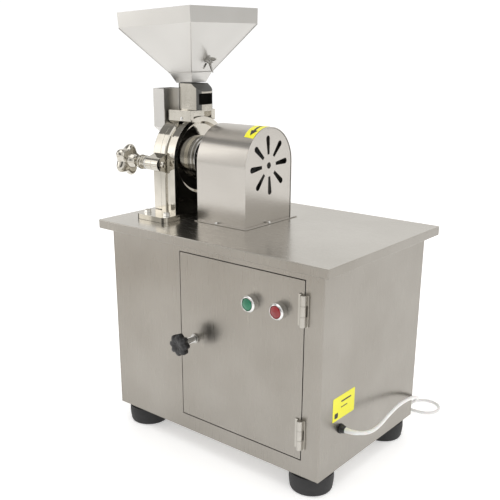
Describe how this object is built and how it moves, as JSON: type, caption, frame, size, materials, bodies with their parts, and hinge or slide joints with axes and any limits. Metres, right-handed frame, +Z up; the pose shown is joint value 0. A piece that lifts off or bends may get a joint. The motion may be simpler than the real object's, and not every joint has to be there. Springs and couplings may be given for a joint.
{
  "type": "hammer mill",
  "caption": "Small hammer mill with square hopper, hinged grinding chamber and arched belt guard on a steel cabinet with door, push buttons and mains lead.",
  "frame": {"origin": "middle of the object's footprint on the floor, measured without the mains lead", "axes": "+X to the machine's right as seen from the front, +Y to its back, +Z up"},
  "size_m": [0.5966, 0.5412, 0.8265],
  "materials": {
    "cabinet_steel": "brushed",
    "polished_steel": "polished cast stainless",
    "satin_steel": "satin",
    "bare_steel": "machined",
    "cast_iron": "cast",
    "motor_paint": "semi-gloss",
    "black_rubber": "matte",
    "black_plastic": "satin",
    "green_plastic": "gloss",
    "red_plastic": "gloss",
    "white_pvc": "satin"
  },
  "bodies": {
    "machine": {"cabinet_front": "cabinet_steel", "cabinet_back": "cabinet_steel", "cabinet_left": "cabinet_steel", "cabinet_right": "cabinet_steel", "cabinet_floor": "cabinet_steel", "table_top": "cabinet_steel", "hinge_lower_fixed": "polished_steel", "hinge_upper_fixed": "polished_steel", "mill_housing": "polished_steel", "foot_bolt_1": "polished_steel", "foot_bolt_2": "polished_steel", "foot_bolt_3": "polished_steel", "foot_bolt_4": "polished_steel", "bearing_housing": "polished_steel", "feed_block": "polished_steel", "feed_throat": "polished_steel", "discharge_chute": "satin_steel", "screen": "satin_steel", "guard_shell": "satin_steel", "guard_end_plate": "satin_steel", "hopper": "satin_steel", "cover_hinge_pin": "bare_steel", "bearing_front": "bare_steel", "bearing_rear": "bare_steel", "motor": "motor_paint", "foot_front_left": "black_rubber", "foot_front_right": "black_rubber", "foot_rear_left": "black_rubber", "foot_rear_right": "black_rubber", "v_belt": "black_rubber", "cable_gland": "black_plastic", "power_cord": "white_pvc", "cord_coil": "white_pvc", "mains_plug": "white_pvc"},
    "door": {"door": "cabinet_steel", "hinge_lower_moving": "polished_steel", "hinge_upper_moving": "polished_steel", "green_bezel": "polished_steel", "red_bezel": "polished_steel"},
    "latch": {"door_knob": "black_plastic", "latch_stem": "bare_steel"},
    "green_button": {"green_button": "green_plastic"},
    "red_button": {"red_button": "red_plastic"},
    "cover": {"mill_cover": "polished_steel", "cover_duct": "satin_steel"},
    "clamp_washer": {"clamp_washer": "bare_steel"},
    "clamp": {"clamp_screw": "polished_steel", "clamp_knob": "polished_steel"},
    "rotor": {"rotor_shaft": "bare_steel", "rotor": "bare_steel", "mill_pulley": "cast_iron"},
    "hammer_1": {"hammer_1": "bare_steel"},
    "hammer_2": {"hammer_2": "bare_steel"},
    "hammer_3": {"hammer_3": "bare_steel"},
    "hammer_4": {"hammer_4": "bare_steel"},
    "motor_rotor": {"motor_shaft": "bare_steel", "motor_pulley": "cast_iron"},
    "gate": {"feed_gate": "satin_steel"},
    "wing_nut": {"wing_nut": "bare_steel"},
    "drawer": {"drawer": "satin_steel"}
  },
  "joints": [
    {"name": "door_hinge", "type": "hinge", "parent": "machine", "child": "door", "pos_m": [0.22615, -0.1585, 0.236], "axis": [0, 0, 1], "range_deg": [0, 110]},
    {"name": "latch_turn", "type": "hinge", "parent": "door", "child": "latch", "pos_m": [-0.01985, -0.1585, 0.238], "axis": [0, -1, 0], "range_deg": [0, 90]},
    {"name": "green_press", "type": "slide", "parent": "door", "child": "green_button", "axis": [0, 1, 0], "range_m": [0, 0.003], "stiffness_N_per_m": 600},
    {"name": "red_press", "type": "slide", "parent": "door", "child": "red_button", "axis": [0, 1, 0], "range_m": [0, 0.003], "stiffness_N_per_m": 600},
    {"name": "cover_hinge", "type": "hinge", "parent": "machine", "child": "cover", "pos_m": [-0.19885, 0.1115, 0.544], "axis": [0, 0, -1], "range_deg": [0, 110]},
    {"name": "clamp_travel", "type": "slide", "parent": "cover", "child": "clamp_washer", "axis": [-1, 0, 0], "range_m": [0, 0.0071]},
    {"name": "clamp_turn", "type": "hinge", "parent": "clamp_washer", "child": "clamp", "pos_m": [-0.23, -0.0775, 0.538], "axis": [-1, 0, 0], "range_deg": [0, 1440]},
    {"name": "rotor_spin", "type": "hinge", "parent": "machine", "child": "rotor", "pos_m": [-0.1, 0.0175, 0.544], "axis": [1, 0, 0], "continuous": true},
    {"name": "motor_spin", "type": "hinge", "parent": "machine", "child": "motor_rotor", "pos_m": [-0.03, 0.0175, 0.1128], "axis": [1, 0, 0], "continuous": true},
    {"name": "hammer_swing_1", "type": "hinge", "parent": "rotor", "child": "hammer_1", "pos_m": [-0.184, 0.03871, 0.56521], "axis": [1, 0, 0], "range_deg": [-50, 50]},
    {"name": "hammer_swing_2", "type": "hinge", "parent": "rotor", "child": "hammer_2", "pos_m": [-0.184, -0.00371, 0.56521], "axis": [1, 0, 0], "range_deg": [-50, 50]},
    {"name": "hammer_swing_3", "type": "hinge", "parent": "rotor", "child": "hammer_3", "pos_m": [-0.184, -0.00371, 0.52279], "axis": [1, 0, 0], "range_deg": [-50, 50]},
    {"name": "hammer_swing_4", "type": "hinge", "parent": "rotor", "child": "hammer_4", "pos_m": [-0.184, 0.03871, 0.52279], "axis": [1, 0, 0], "range_deg": [-50, 50]},
    {"name": "gate_slide", "type": "slide", "parent": "machine", "child": "gate", "axis": [-0.5686, 0, -0.8226], "range_m": [0, 0.018]},
    {"name": "wing_turn", "type": "hinge", "parent": "gate", "child": "wing_nut", "pos_m": [-0.13392, 0.0175, 0.73262], "axis": [0.8226, 0, -0.5686], "range_deg": [0, 720]},
    {"name": "drawer_slide", "type": "slide", "parent": "machine", "child": "drawer", "axis": [-1, 0, 0], "range_m": [0, 0.13]}
  ],
  "couplings": [
    {"joint": "rotor_spin", "follows": "motor_spin", "ratio": 1.7},
    {"joint": "clamp_travel", "follows": "clamp_turn", "m_per_rad": 0.00027852}
  ]
}
